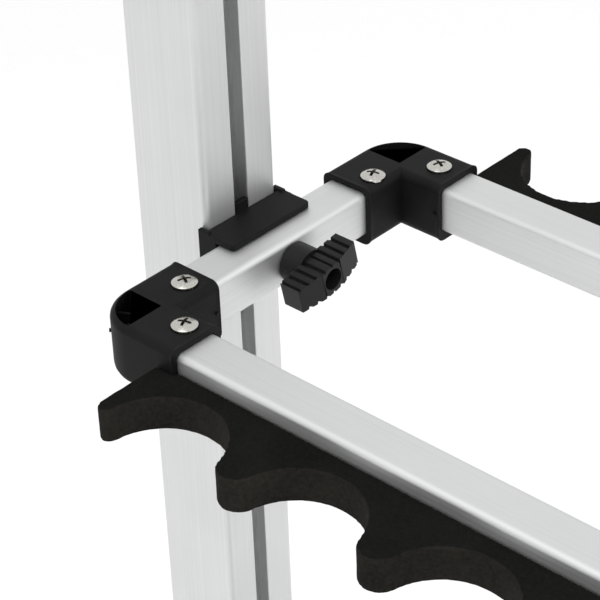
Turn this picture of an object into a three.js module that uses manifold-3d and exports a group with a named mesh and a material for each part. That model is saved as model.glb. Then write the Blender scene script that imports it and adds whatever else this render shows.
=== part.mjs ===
// Two-sided rod rack: two slotted square posts on cross feet carry two ring frames of square tube.
// Each frame slides on the posts and is held by two wing knobs; notched foam runs along the upper
// frame's long sides, and dimpled foam shelves run along the lower frame's.
// Millimetres, +X along the rack, +Z up, floor at z = 0, centre of the rack over the origin.
import * as THREE from "three";
import { mergeVertices } from "three/addons/utils/BufferGeometryUtils.js";
import Module from "manifold-3d";

const wasm = await Module();
wasm.setup();

// Clearances
const GAP = 0.3; // between pieces that touch
const OVERCUT = 1; // a cutter runs this far past the face it opens

// Notched foam
const NOTCH_COUNT = 10; // notches along each side
const NOTCH_PITCH = 64.5;
const NOTCH_R = 25.2;
const NOTCH_OUT = 33.8; // notch centre to the tube's outer face
const TIP_OUT = 0.6; // a lobe's tip beyond the line of notch centres
const FOAM_T = 15;
const FOAM_TOP = -9.5; // from the frame's top plane
const FOAM_TIP_R = 3.3; // end lobes
const BACK_WIDER = 5; // the back strip's web is this much wider
const BACK_ALONG = 3.8; // and its notches lie this far towards +X
const FIRST_NOTCH = 48.5; // from a connector's corner axis to the first notch

// Ring frame, measured between the corner axes of its four connectors
const RING_X = 2 * FIRST_NOTCH + (NOTCH_COUNT - 1) * NOTCH_PITCH;
const RING_Y = 138;

// Square tube
const TUBE = 20;
const TUBE_R = 2.6;
const TUBE_WALL = 1.2;

// Corner connector, measured from its corner axis
const SLEEVE = 25; // outside width of a sleeve
const SLEEVE_H = 26.5;
const SLEEVE_OUT = 19.4; // corner axis to the outer faces, and the corner's radius
const SLEEVE_END = 25.3; // corner axis to a sleeve's mouth
const SLEEVE_EDGE = 1.8; // rounding of the top and bottom edges
const SLEEVE_IN = SLEEVE - SLEEVE_OUT;
const TUBE_OFF = SLEEVE_OUT - SLEEVE / 2; // tube centre line outside the corner axis
const TUBE_DROP = 12.5; // tube centre line below the top plane
const TUBE_START = SLEEVE_IN + GAP;
const POCKET_R = 17.2; // quarter-round opening in the top
const POCKET_DEPTH = 20;

// Connector screws: a on the sleeve along the connector's X, b on the sleeve along its Y. The
// holes are drilled by hand, so two corners differ from the other two.
const EVEN_SCREWS = { a: [16.5, -3.95], b: [-3.95, 16.5] };
const ODD_SCREWS = { a: [15.6, -1], b: [-7.2, 15.2] };
const SCREW_HEAD_R = 5.2;
const SCREW_HEAD_H = 2.4;
const SCREW_SINK = 0.35; // depth of the counterbore under each head
const SCREW_R = 2;
const SCREW_HOLE_R = SCREW_R + GAP;
const SCREW_LENGTH = 8;
const CROSS_W = 1.1; // width of a cross recess arm
const CROSS_REACH = 2.6; // screw axis to an arm's end
const CROSS_FLOOR = 1.1; // recess floor above the head's underside

// Post
const POST = 40;
const POST_R = 2.75;
const POST_WALL = 1.6;
const POST_GAP = 6.9; // tube's outer face to the post's slotted face
const POST_FACE = TUBE_OFF + TUBE / 2 + POST_GAP; // from the connector's corner axis
const POST_X = RING_X / 2 + POST_FACE + POST / 2;
const POST_FOOT = 30.3;
const POST_TOP = 740;
const SLOT_W = 7.6;
const LIP = 1.5;
const CHANNEL_W = 18;
const CHANNEL_DEPTH = 9;

// Heights of the two frames' top planes
const UPPER_TOP = 620;
const LOWER_TOP = 170;

// Bracket between post and cross tube
const FLANGE_T = 2.5;
const FLANGE_REACH = 9.6; // over the cross tube
const FLANGE_LOW_REACH = 9;
const BRACKET_W = 44.6;
const EAR_T = 2;
const EAR_BACK = 3; // along the post's side
const EAR_UP = 0.9;
const EAR_DEPTH = 2; // in front of the post
const KEY_W = 7;
const KEY_DEPTH = 2.4;
const KEY_RISE = 4.5;
const KEY_CLEAR = 8.5; // half height left free for the nut

// Wing knob, bolt and nut
const BOLT_R = 3;
const BOLT_HOLE_R = BOLT_R + GAP;
const BOLT_IN_WING = 2; // past the hub
const BOLT_PAST_NUT = 1.5;
const HUB_R = 8.3;
const HUB_L = 9;
const WING_L = 33.5;
const WING_T_END = 11.6;
const WING_T_MID = 13.4;
const WING_DEPTH = 12.2;
const WING_DROP = 2.4; // the wing's ends lie this far behind its middle
const WING_FLAT = 5.5; // half length of the flat middle
const WING_TILT = THREE.MathUtils.degToRad(12);
const RIBS = 8;
const RIB_DEPTH = 1.2;
const RIB_CREST = 0.3; // a rib's crest and valley, as shares of its pitch
const RIB_VALLEY = 0.8;
const KNOB_HOLE_R = 4.5;
const KNOB_HOLE_DEPTH = 9;
const NUT = 14;
const NUT_T = 4;

// Lower frame's foam shelf
const SHELF_OUT = 38;
const DIMPLE_R = 16;
const DIMPLE_DEPTH = 3.5;
const SHELF_CORNER_R = 6;

// Base
const FOOT_L = 420;
const FOOT_Z = 15; // tube centre above the floor
const FOOT_CAP_L = 34;
const FOOT_CAP_WALL = 2.5;
const PAD_RIM = 5; // width of the pads left round the arch under a foot cap
const PAD_TOE = 6;
const PAD_HEEL = 8;
const ARCH_H = 1.2;
const SOCKET_WALL = 4.5;
const SOCKET_TOP = 85;
const SOCKET_LIFT = 2;
const COLLAR_L = 22; // collar for the long rail, past the socket's wall
const COLLAR_WALL = 3.5;
const SOCKET_EDGE_R = 4;
const CAP_T = 5;
const CAP_OVER = 1;
const CAP_PLUG = 12;

const ALUMINIUM = { color: "#d3d4d6", roughness: 0.36, metalness: 1 };
const BLACK_PLASTIC = { color: "#1d1d1e", roughness: 0.62, metalness: 0 };
const KNOB_PLASTIC = { color: "#232325", roughness: 0.5, metalness: 0 };
const FOAM = { color: "#1f1c1a", roughness: 0.95, metalness: 0 };
const PLATED_STEEL = { color: "#c9c8c4", roughness: 0.24, metalness: 1 };

// Solids

function toSolid(geometry) {
  const bare = geometry.clone();
  bare.deleteAttribute("normal");
  bare.deleteAttribute("uv");
  const merged = mergeVertices(bare, 1e-4);
  const vertProperties = merged.attributes.position.array;
  const triVerts = new Uint32Array(merged.index.array);
  return new wasm.Manifold(new wasm.Mesh({ numProp: 3, vertProperties, triVerts }));
}

function toGeometry(solid) {
  const { vertProperties, triVerts } = solid.getMesh();
  const geometry = new THREE.BufferGeometry();
  geometry.setAttribute("position", new THREE.BufferAttribute(vertProperties, 3));
  geometry.setIndex(new THREE.BufferAttribute(triVerts, 1));
  return geometry;
}

function cut(body, ...tools) {
  let solid = toSolid(body);
  for (const tool of tools) solid = solid.subtract(toSolid(tool));
  return toGeometry(solid);
}

function join(...bodies) {
  let solid = toSolid(bodies[0]);
  for (const body of bodies.slice(1)) solid = solid.add(toSolid(body));
  return toGeometry(solid);
}

// A block from one corner to the opposite one.
function block(x0, x1, y0, y1, z0, z1) {
  const box = new THREE.BoxGeometry(x1 - x0, y1 - y0, z1 - z0);
  return box.translate((x0 + x1) / 2, (y0 + y1) / 2, (z0 + z1) / 2);
}

function roundedRect(w, h, r, Kind = THREE.Shape) {
  const s = new Kind();
  s.absarc(w / 2 - r, h / 2 - r, r, 0, Math.PI / 2);
  s.absarc(-w / 2 + r, h / 2 - r, r, Math.PI / 2, Math.PI);
  s.absarc(-w / 2 + r, -h / 2 + r, r, Math.PI, 1.5 * Math.PI);
  s.absarc(w / 2 - r, -h / 2 + r, r, 1.5 * Math.PI, 2 * Math.PI);
  s.closePath();
  return s;
}

// Extrusions of an outline: up Z from z0, or centred along X or Y. Along X the outline's axes
// become Y and Z; along Y they become Z and X.
function upZ(shape, z0, length, segments = 3) {
  const options = { depth: length, bevelEnabled: false, curveSegments: segments };
  return new THREE.ExtrudeGeometry(shape, options).translate(0, 0, z0);
}

function alongX(shape, length, segments = 2) {
  return upZ(shape, -length / 2, length, segments).applyMatrix4(
    new THREE.Matrix4().set(0, 0, 1, 0, 1, 0, 0, 0, 0, 1, 0, 0, 0, 0, 0, 1),
  );
}

function alongY(shape, length, segments = 2) {
  return upZ(shape, -length / 2, length, segments).applyMatrix4(
    new THREE.Matrix4().set(0, 1, 0, 0, 0, 0, 1, 0, 1, 0, 0, 0, 0, 0, 0, 1),
  );
}

// Round bars along Z or X, centred on the origin.
function rodZ(r, length, segments = 24) {
  return new THREE.CylinderGeometry(r, r, length, segments).rotateX(Math.PI / 2);
}

function rodX(r, length, segments = 24) {
  return new THREE.CylinderGeometry(r, r, length, segments).rotateZ(Math.PI / 2);
}

function add(parent, name, geometry, look, x = 0, y = 0, z = 0, turnZ = 0) {
  const mesh = new THREE.Mesh(geometry, new THREE.MeshStandardMaterial(look));
  mesh.name = name;
  mesh.position.set(x, y, z);
  mesh.rotation.z = turnZ;
  parent.add(mesh);
  return mesh;
}

// Square tube with rounded edges inside and out.
function tubeShape() {
  const shape = roundedRect(TUBE, TUBE, TUBE_R);
  const inner = TUBE - 2 * TUBE_WALL;
  shape.holes.push(roundedRect(inner, inner, TUBE_R - TUBE_WALL, THREE.Path));
  return shape;
}

// Corners of a ring frame: signs of X and Y, quarter turns of the connector, and its screws.
const CORNERS = {
  left_front: { x: -1, y: -1, quarter: 0, screws: EVEN_SCREWS },
  right_front: { x: 1, y: -1, quarter: 1, screws: ODD_SCREWS },
  right_back: { x: 1, y: 1, quarter: 2, screws: EVEN_SCREWS },
  left_back: { x: -1, y: 1, quarter: 3, screws: ODD_SCREWS },
};

// Holes for every connector screw through the upper walls of a tube centred at (x, y) in the ring.
function screwHoles(x, y) {
  const holes = [];
  for (const corner of Object.values(CORNERS)) {
    for (const [alongX, alongY] of Object.values(corner.screws)) {
      const hole = rodZ(SCREW_HOLE_R, 2 * TUBE_WALL + OVERCUT, 10).translate(alongX, alongY, 0);
      hole.rotateZ((corner.quarter * Math.PI) / 2);
      hole.translate((corner.x * RING_X) / 2 - x, (corner.y * RING_Y) / 2 - y, TUBE / 2);
      holes.push(hole);
    }
  }
  return holes;
}

// Long tube of a ring, centred at y, with its screw holes.
function longTube(y) {
  return cut(alongX(tubeShape(), RING_X - 2 * TUBE_START), ...screwHoles(0, y));
}

// Cross tube of a ring, centred at x, with its screw holes and the hole for its knob's bolt.
function crossTube(x) {
  const tube = cut(alongY(tubeShape(), RING_Y - 2 * TUBE_START), ...screwHoles(x, 0));
  return cut(tube, rodX(BOLT_HOLE_R, TUBE + 2 * OVERCUT, 16));
}

// Corner connector: sleeves along +X and +Y, joined round the outside by a quarter cylinder that
// is open at the top. Its corner axis is at the origin and its top at z = 0.
function connector(screws) {
  const e = SLEEVE_EDGE;
  const outline = new THREE.Shape();
  outline.absarc(0, 0, SLEEVE_OUT, Math.PI, 1.5 * Math.PI);
  outline.lineTo(SLEEVE_END, -SLEEVE_OUT);
  outline.lineTo(SLEEVE_END, SLEEVE_IN);
  outline.lineTo(SLEEVE_IN, SLEEVE_IN);
  outline.lineTo(SLEEVE_IN, SLEEVE_END);
  outline.lineTo(-SLEEVE_OUT, SLEEVE_END);
  outline.closePath();
  const body = new THREE.ExtrudeGeometry(outline, {
    depth: SLEEVE_H - 2 * e,
    bevelSize: e,
    bevelThickness: e,
    bevelOffset: -e,
    bevelSegments: 2,
    curveSegments: 5,
  }).translate(0, 0, e - SLEEVE_H);
  const pocket = new THREE.Shape();
  pocket.absarc(0, 0, POCKET_R, Math.PI, 1.5 * Math.PI);
  pocket.lineTo(0, 0);
  pocket.closePath();
  const bore = TUBE + 2 * GAP;
  const boreLength = SLEEVE_END - SLEEVE_IN + OVERCUT;
  const boreMiddle = (SLEEVE_END + SLEEVE_IN + OVERCUT) / 2;
  const boreShape = roundedRect(bore, bore, TUBE_R);
  const tools = [
    upZ(pocket, -POCKET_DEPTH, POCKET_DEPTH + OVERCUT, 5),
    alongX(boreShape, boreLength, 2).translate(boreMiddle, -TUBE_OFF, -TUBE_DROP),
    alongY(boreShape, boreLength, 2).translate(-TUBE_OFF, boreMiddle, -TUBE_DROP),
  ];
  for (const [x, y] of Object.values(screws)) {
    tools.push(rodZ(SCREW_HOLE_R, SLEEVE / 2, 10).translate(x, y, 0));
    tools.push(rodZ(SCREW_HEAD_R + GAP, 2 * SCREW_SINK, 18).translate(x, y, 0));
  }
  return cut(body, ...tools);
}

// Domed screw with a cross recess; the underside of its head is at z = 0.
function screw() {
  const rim = SCREW_HEAD_H / 3;
  const profile = [new THREE.Vector2(0, -SCREW_LENGTH), new THREE.Vector2(SCREW_R, -SCREW_LENGTH)];
  profile.push(new THREE.Vector2(SCREW_R, 0), new THREE.Vector2(SCREW_HEAD_R, 0));
  const steps = 3;
  for (let i = 0; i <= steps; i++) {
    const angle = (i / steps) * (Math.PI / 2);
    const height = rim + (SCREW_HEAD_H - rim) * Math.sin(angle);
    profile.push(new THREE.Vector2(SCREW_HEAD_R * Math.cos(angle), height));
  }
  profile[profile.length - 1].x = 0;
  const body = new THREE.LatheGeometry(profile, 18).rotateX(Math.PI / 2);
  const half = CROSS_W / 2;
  const top = SCREW_HEAD_H + OVERCUT;
  const cross = join(
    block(-CROSS_REACH, CROSS_REACH, -half, half, CROSS_FLOOR, top),
    block(-half, half, -CROSS_REACH, CROSS_REACH, CROSS_FLOOR, top),
  );
  return cut(body, cross);
}

// Notched foam for the front side; the tube's outer face is y = 0 and the foam lies at y < 0. Its
// web can be made wider, and its notches can be shifted along X.
function notchedFoam(wider, shift) {
  const notchY = -NOTCH_OUT - wider;
  const tipR = lobeRadius();
  const tipY = notchY + tipR - TIP_OUT;
  const lean = Math.atan2(tipR - TIP_OUT, NOTCH_PITCH / 2);
  const first = -((NOTCH_COUNT - 1) * NOTCH_PITCH) / 2 + shift;
  const last = first + (NOTCH_COUNT - 1) * NOTCH_PITCH;
  const start = first - NOTCH_PITCH / 2 + GAP;
  const end = last + NOTCH_PITCH / 2 - GAP;
  const r = FOAM_TIP_R;
  const endTipY = notchY - TIP_OUT + r;
  const endLean = Math.asin((endTipY - notchY) / NOTCH_R);
  const relief = SLEEVE_OUT - TUBE_OFF - TUBE / 2 + GAP;
  const reliefEnd = -RING_X / 2 + SLEEVE_END + 2 * GAP;
  const s = new THREE.Shape();
  s.moveTo(start, -relief);
  s.absarc(start + r, endTipY, r, Math.PI, 2 * Math.PI);
  for (let i = 0; i < NOTCH_COUNT; i++) {
    const x = first + i * NOTCH_PITCH;
    const from = i === 0 ? endLean : lean;
    const to = i === NOTCH_COUNT - 1 ? endLean : lean;
    s.absarc(x, notchY, NOTCH_R, Math.PI - from, to, true);
    if (i < NOTCH_COUNT - 1) {
      s.absarc(x + NOTCH_PITCH / 2, tipY, tipR, Math.PI + lean, 2 * Math.PI - lean);
    }
  }
  s.absarc(end - r, endTipY, r, Math.PI, 2 * Math.PI);
  s.lineTo(end, -relief);
  s.lineTo(-reliefEnd, -relief);
  s.lineTo(-reliefEnd, -GAP);
  s.lineTo(reliefEnd, -GAP);
  s.lineTo(reliefEnd, -relief);
  s.closePath();
  return upZ(s, -FOAM_T, FOAM_T, 7);
}

// Radius of the lobe tip that runs tangent into the notches on both sides of it.
function lobeRadius() {
  const half = NOTCH_PITCH / 2;
  return (half * half + TIP_OUT * TIP_OUT - NOTCH_R * NOTCH_R) / (2 * (NOTCH_R + TIP_OUT));
}

// Plain foam shelf for the front side of the lower frame, with a round dimple below each notch.
function dimpledFoam() {
  const relief = SLEEVE_OUT - TUBE_OFF - TUBE / 2 + GAP;
  const half = RING_X / 2 - FIRST_NOTCH + NOTCH_PITCH / 2 - GAP;
  const reliefEnd = RING_X / 2 - SLEEVE_END - 2 * GAP;
  const r = SHELF_CORNER_R;
  const s = new THREE.Shape();
  s.moveTo(-half, -relief);
  s.absarc(-half + r, -SHELF_OUT + r, r, Math.PI, 1.5 * Math.PI);
  s.absarc(half - r, -SHELF_OUT + r, r, 1.5 * Math.PI, 2 * Math.PI);
  s.lineTo(half, -relief);
  s.lineTo(reliefEnd, -relief);
  s.lineTo(reliefEnd, -GAP);
  s.lineTo(-reliefEnd, -GAP);
  s.lineTo(-reliefEnd, -relief);
  s.closePath();
  const dimples = [];
  for (let i = 0; i < NOTCH_COUNT; i++) {
    const x = (i - (NOTCH_COUNT - 1) / 2) * NOTCH_PITCH;
    dimples.push(rodZ(DIMPLE_R, 2 * DIMPLE_DEPTH, 20).translate(x, -SHELF_OUT / 2 - GAP, 0));
  }
  return cut(upZ(s, -FOAM_T, FOAM_T, 5), ...dimples);
}

// Bracket at the -X end: a plate between post and cross tube, a lip above and below the tube,
// ears round the post's front corners and keys in its slot. The cross tube's centre is the origin.
function bracket() {
  const tubeFace = -TUBE / 2 - GAP;
  const postFace = -TUBE / 2 - POST_GAP + GAP;
  const top = TUBE / 2 + GAP;
  const tip = FLANGE_T / 2;
  const s = new THREE.Shape();
  // The outline's first axis is Z and its second is X.
  s.moveTo(-top - FLANGE_T, postFace);
  s.lineTo(top + FLANGE_T, postFace);
  s.absarc(top + tip, -TUBE / 2 + FLANGE_REACH - tip, tip, 0, Math.PI);
  s.lineTo(top, tubeFace);
  s.lineTo(-top, tubeFace);
  s.absarc(-top - tip, -TUBE / 2 + FLANGE_LOW_REACH - tip, tip, 0, Math.PI);
  s.closePath();
  const pieces = [alongY(s, BRACKET_W, 3)];
  for (const side of [-1, 1]) {
    const y0 = side * (POST / 2 + GAP);
    const y1 = side * (POST / 2 + GAP + EAR_T);
    const ys = [Math.min(y0, y1), Math.max(y0, y1)];
    const up = top + FLANGE_T + EAR_UP;
    pieces.push(block(postFace - EAR_BACK, postFace + EAR_DEPTH, ...ys, -top - FLANGE_T, up));
  }
  const keyBack = postFace - KEY_DEPTH;
  const lipZ = top + FLANGE_T;
  const key = (x1, z0, z1) => block(keyBack, x1, -KEY_W / 2, KEY_W / 2, z0, z1);
  pieces.push(key(postFace + OVERCUT, KEY_CLEAR, lipZ));
  pieces.push(key(postFace, KEY_CLEAR, lipZ + KEY_RISE));
  pieces.push(key(postFace + OVERCUT, -lipZ, -KEY_CLEAR));
  return cut(join(...pieces), rodX(BOLT_HOLE_R, 2 * TUBE).translate(-TUBE, 0, 0));
}

// Outline of the wing: a flattened hexagon whose two long sides are ribbed.
function wingShape() {
  const half = WING_L / 2;
  const s = new THREE.Shape();
  s.moveTo(half, -WING_T_END / 2);
  const thickness = (y) => {
    const share = Math.abs(y) / half;
    return (WING_T_MID + (WING_T_END - WING_T_MID) * share) / 2;
  };
  const pitch = WING_L / RIBS;
  for (const side of [1, -1]) {
    s.lineTo(side * half, side * thickness(half));
    for (let i = 0; i < RIBS; i++) {
      const from = side * (half - i * pitch);
      const crest = from - side * pitch * RIB_CREST;
      const valley = from - side * pitch * RIB_VALLEY;
      s.lineTo(crest, side * thickness(crest));
      s.lineTo(valley, side * (thickness(valley) - RIB_DEPTH));
    }
    s.lineTo(-side * half, side * thickness(half));
  }
  s.closePath();
  return s;
}

// Wing knob on the +X side of the cross tube's face at x = 0.
function knob() {
  const back = GAP + HUB_L;
  const front = back + WING_DEPTH;
  const wing = alongX(wingShape(), WING_DEPTH, 1).translate(back + WING_DEPTH / 2, 0, 0);
  const hub = rodX(HUB_R, HUB_L + OVERCUT, 32).translate(GAP + (HUB_L + OVERCUT) / 2, 0, 0);
  const reach = WING_L / 2 - WING_FLAT;
  const slope = Math.atan2(WING_DROP, reach);
  const slabs = [1, -1].map((side) =>
    new THREE.BoxGeometry(WING_DEPTH, WING_L, WING_L)
      .translate(WING_DEPTH / 2, (side * WING_L) / 2, 0)
      .rotateZ(side * slope)
      .translate(front, side * WING_FLAT, 0),
  );
  const hole = rodX(KNOB_HOLE_R, KNOB_HOLE_DEPTH + OVERCUT);
  hole.translate(front - KNOB_HOLE_DEPTH / 2 + OVERCUT / 2, 0, 0);
  const bore = rodX(BOLT_HOLE_R, 2 * front);
  return cut(join(wing, hub), ...slabs, hole, bore).rotateX(WING_TILT);
}

// Bolt from inside the knob to just past the nut.
function knobBolt() {
  const inKnob = GAP + HUB_L + BOLT_IN_WING;
  const reach = TUBE + POST_GAP + LIP + GAP + NUT_T + BOLT_PAST_NUT;
  return rodX(BOLT_R, inKnob + reach).translate((inKnob - reach) / 2, 0, 0);
}

// Nut plate behind the post's lips; the lips' inner face is x = 0.
function nut() {
  const body = block(-GAP - NUT_T, -GAP, -NUT / 2, NUT / 2, -NUT / 2, NUT / 2);
  return cut(body, rodX(BOLT_HOLE_R, 4 * NUT_T));
}

// Post section: a slot in the +X face opens into a channel, and the rest of the post is hollow.
function postShape() {
  const half = POST / 2;
  const s = new THREE.Shape();
  s.moveTo(half, SLOT_W / 2);
  s.absarc(half - POST_R, half - POST_R, POST_R, 0, Math.PI / 2);
  s.absarc(-half + POST_R, half - POST_R, POST_R, Math.PI / 2, Math.PI);
  s.absarc(-half + POST_R, -half + POST_R, POST_R, Math.PI, 1.5 * Math.PI);
  s.absarc(half - POST_R, -half + POST_R, POST_R, 1.5 * Math.PI, 2 * Math.PI);
  s.lineTo(half, -SLOT_W / 2);
  s.lineTo(half - LIP, -SLOT_W / 2);
  s.lineTo(half - LIP, -CHANNEL_W / 2);
  s.lineTo(half - LIP - CHANNEL_DEPTH, -CHANNEL_W / 2);
  s.lineTo(half - LIP - CHANNEL_DEPTH, CHANNEL_W / 2);
  s.lineTo(half - LIP, CHANNEL_W / 2);
  s.lineTo(half - LIP, SLOT_W / 2);
  s.closePath();
  const inner = half - POST_WALL;
  const r = POST_R - POST_WALL;
  const channelSide = CHANNEL_W / 2 + POST_WALL;
  const channelBack = half - LIP - CHANNEL_DEPTH - POST_WALL;
  const hollow = new THREE.Path();
  hollow.moveTo(inner, channelSide);
  hollow.absarc(inner - r, inner - r, r, 0, Math.PI / 2);
  hollow.absarc(-inner + r, inner - r, r, Math.PI / 2, Math.PI);
  hollow.absarc(-inner + r, -inner + r, r, Math.PI, 1.5 * Math.PI);
  hollow.absarc(inner - r, -inner + r, r, 1.5 * Math.PI, 2 * Math.PI);
  hollow.lineTo(inner, -channelSide);
  hollow.lineTo(channelBack, -channelSide);
  hollow.lineTo(channelBack, channelSide);
  hollow.closePath();
  s.holes.push(hollow);
  return s;
}

// Cap on a post's end, with a plug in the hollow behind the channel.
function postCap() {
  const side = POST + 2 * CAP_OVER;
  const e = CAP_T / 3;
  const plate = new THREE.ExtrudeGeometry(roundedRect(side, side, POST_R + CAP_OVER), {
    depth: CAP_T - 2 * e,
    bevelSize: e,
    bevelThickness: e,
    bevelOffset: -e,
    bevelSegments: 2,
    curveSegments: 2,
  }).translate(0, 0, e);
  const room = POST / 2 - LIP - CHANNEL_DEPTH - 2 * POST_WALL + POST / 2;
  const depth = room - 2 * GAP;
  const x0 = -POST / 2 + POST_WALL + GAP;
  const w = POST / 2 - POST_WALL - POST_R;
  return join(plate, block(x0, x0 + depth, -w, w, -CAP_PLUG, e));
}

// Base socket at the -X end: it holds the post, lets the foot tube through below it, and has a
// collar for the long rail. The post's axis is the origin in plan.
function socket() {
  const side = POST + 2 * GAP + 2 * SOCKET_WALL;
  const height = SOCKET_TOP - SOCKET_LIFT;
  const body = upZ(roundedRect(side, side, SOCKET_EDGE_R), SOCKET_LIFT, height);
  const bore = TUBE + 2 * GAP;
  const collarSide = bore + 2 * COLLAR_WALL;
  const collarEnd = side / 2 + COLLAR_L;
  const collar = alongX(roundedRect(collarSide, collarSide, TUBE_R), collarEnd);
  collar.translate(collarEnd / 2, 0, FOOT_Z);
  const boreShape = roundedRect(bore, bore, TUBE_R);
  const railStart = TUBE / 2 + SOCKET_WALL;
  const railBore = alongX(boreShape, collarEnd - railStart + OVERCUT);
  railBore.translate((collarEnd + railStart + OVERCUT) / 2, 0, FOOT_Z);
  const footBore = alongY(boreShape, side + 2 * OVERCUT).translate(0, 0, FOOT_Z);
  const postSide = POST + 2 * GAP;
  const postBore = upZ(roundedRect(postSide, postSide, POST_R), POST_FOOT - GAP, SOCKET_TOP);
  return cut(join(body, collar), railBore, footBore, postBore);
}

// Cap and pad on a foot tube's -Y end; the tube ends at y = 0.
function footCap() {
  const side = TUBE + 2 * GAP + 2 * FOOT_CAP_WALL;
  const top = FOOT_Z + side / 2;
  const body = alongY(roundedRect(top, side, TUBE_R), FOOT_CAP_L + FOOT_CAP_WALL, 3);
  body.translate(0, (FOOT_CAP_L - FOOT_CAP_WALL) / 2, top / 2);
  const bore = TUBE + 2 * GAP;
  const tool = alongY(roundedRect(bore, bore, TUBE_R), FOOT_CAP_L + OVERCUT);
  tool.translate(0, (FOOT_CAP_L + OVERCUT) / 2 - GAP, FOOT_Z);
  const w = side / 2 - PAD_RIM;
  const arch = block(-w, w, PAD_TOE, FOOT_CAP_L - PAD_HEEL, -OVERCUT, ARCH_H);
  return cut(body, tool, arch);
}

// Ring frame: four tubes, four connectors and a foam strip on each long side.
function ringFrame(prefix, top, foams, withScrews) {
  const frame = new THREE.Group();
  frame.position.z = top;
  const tubeY = RING_Y / 2 + TUBE_OFF;
  const tubeX = RING_X / 2 + TUBE_OFF;
  const sides = { front: -1, back: 1 };
  for (const [name, side] of Object.entries(sides)) {
    const tube = longTube(side * tubeY);
    add(frame, prefix + "_tube_" + name, tube, ALUMINIUM, 0, side * tubeY, -TUBE_DROP);
    const turn = side < 0 ? 0 : Math.PI;
    const foamY = side * (tubeY + TUBE / 2);
    add(frame, prefix + "_foam_" + name, foams[name], FOAM, 0, foamY, FOAM_TOP, turn);
  }
  const ends = { left: -1, right: 1 };
  for (const [name, end] of Object.entries(ends)) {
    const tube = crossTube(end * tubeX);
    add(frame, prefix + "_tube_" + name, tube, ALUMINIUM, end * tubeX, 0, -TUBE_DROP);
  }
  for (const [name, { x, y, quarter, screws }] of Object.entries(CORNERS)) {
    const corner = new THREE.Group();
    corner.position.set((x * RING_X) / 2, (y * RING_Y) / 2, 0);
    corner.rotation.z = (quarter * Math.PI) / 2;
    frame.add(corner);
    add(corner, prefix + "_connector_" + name, connector(screws), BLACK_PLASTIC);
    if (!withScrews) continue;
    for (const [letter, spot] of Object.entries(screws)) {
      add(corner, prefix + "_screw_" + name + "_" + letter, screw(), PLATED_STEEL, ...spot);
    }
  }
  for (const [name, end] of Object.entries(ends)) {
    const clamp = new THREE.Group();
    clamp.position.set(end * tubeX, 0, -TUBE_DROP);
    clamp.rotation.z = end < 0 ? 0 : Math.PI;
    frame.add(clamp);
    const tag = "_" + name;
    const lipX = -TUBE / 2 - POST_GAP - LIP;
    add(clamp, prefix + "_bracket" + tag, bracket(), BLACK_PLASTIC);
    add(clamp, prefix + "_knob" + tag, knob(), KNOB_PLASTIC, TUBE / 2);
    add(clamp, prefix + "_bolt" + tag, knobBolt(), PLATED_STEEL, TUBE / 2);
    add(clamp, prefix + "_nut" + tag, nut(), PLATED_STEEL, lipX);
  }
  return frame;
}

// One end of the base with its post.
function standEnd(name, end) {
  const stand = new THREE.Group();
  stand.position.x = end * POST_X;
  stand.rotation.z = end < 0 ? 0 : Math.PI;
  const post = upZ(postShape(), POST_FOOT, POST_TOP - POST_FOOT);
  add(stand, "post_" + name, post, ALUMINIUM);
  add(stand, "post_cap_" + name, postCap(), BLACK_PLASTIC, 0, 0, POST_TOP + GAP);
  add(stand, "socket_" + name, socket(), BLACK_PLASTIC);
  add(stand, "foot_tube_" + name, alongY(tubeShape(), FOOT_L), ALUMINIUM, 0, 0, FOOT_Z);
  const y = FOOT_L / 2 + GAP;
  add(stand, "foot_cap_" + name + "_a", footCap(), BLACK_PLASTIC, 0, -y, 0);
  add(stand, "foot_cap_" + name + "_b", footCap(), BLACK_PLASTIC, 0, y, 0, Math.PI);
  return stand;
}

const rack = new THREE.Group();
rack.add(standEnd("left", -1), standEnd("right", 1));
const railLength = 2 * (POST_X - TUBE / 2 - SOCKET_WALL - GAP);
add(rack, "base_rail", alongX(tubeShape(), railLength), ALUMINIUM, 0, 0, FOOT_Z);
// The back strip is turned half round, so its notches shift the other way in its own frame.
const strips = { front: notchedFoam(0, 0), back: notchedFoam(BACK_WIDER, -BACK_ALONG) };
const shelves = { front: dimpledFoam(), back: dimpledFoam() };
rack.add(ringFrame("upper", UPPER_TOP, strips, true));
rack.add(ringFrame("lower", LOWER_TOP, shelves, false));

export default rack;
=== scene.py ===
# %% [markdown]
# # A two-sided rod rack in aluminium, nylon and foam
# The rack stands on two cross feet. Two slotted posts rise from them and carry two ring frames of
# square tube, and each ring is clamped to the posts by wing knobs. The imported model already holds
# the true sizes, so this lesson loads it first and builds every visible piece where it says.

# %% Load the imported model
import math

import bmesh
import bpy
from mathutils import Matrix, Vector


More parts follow.
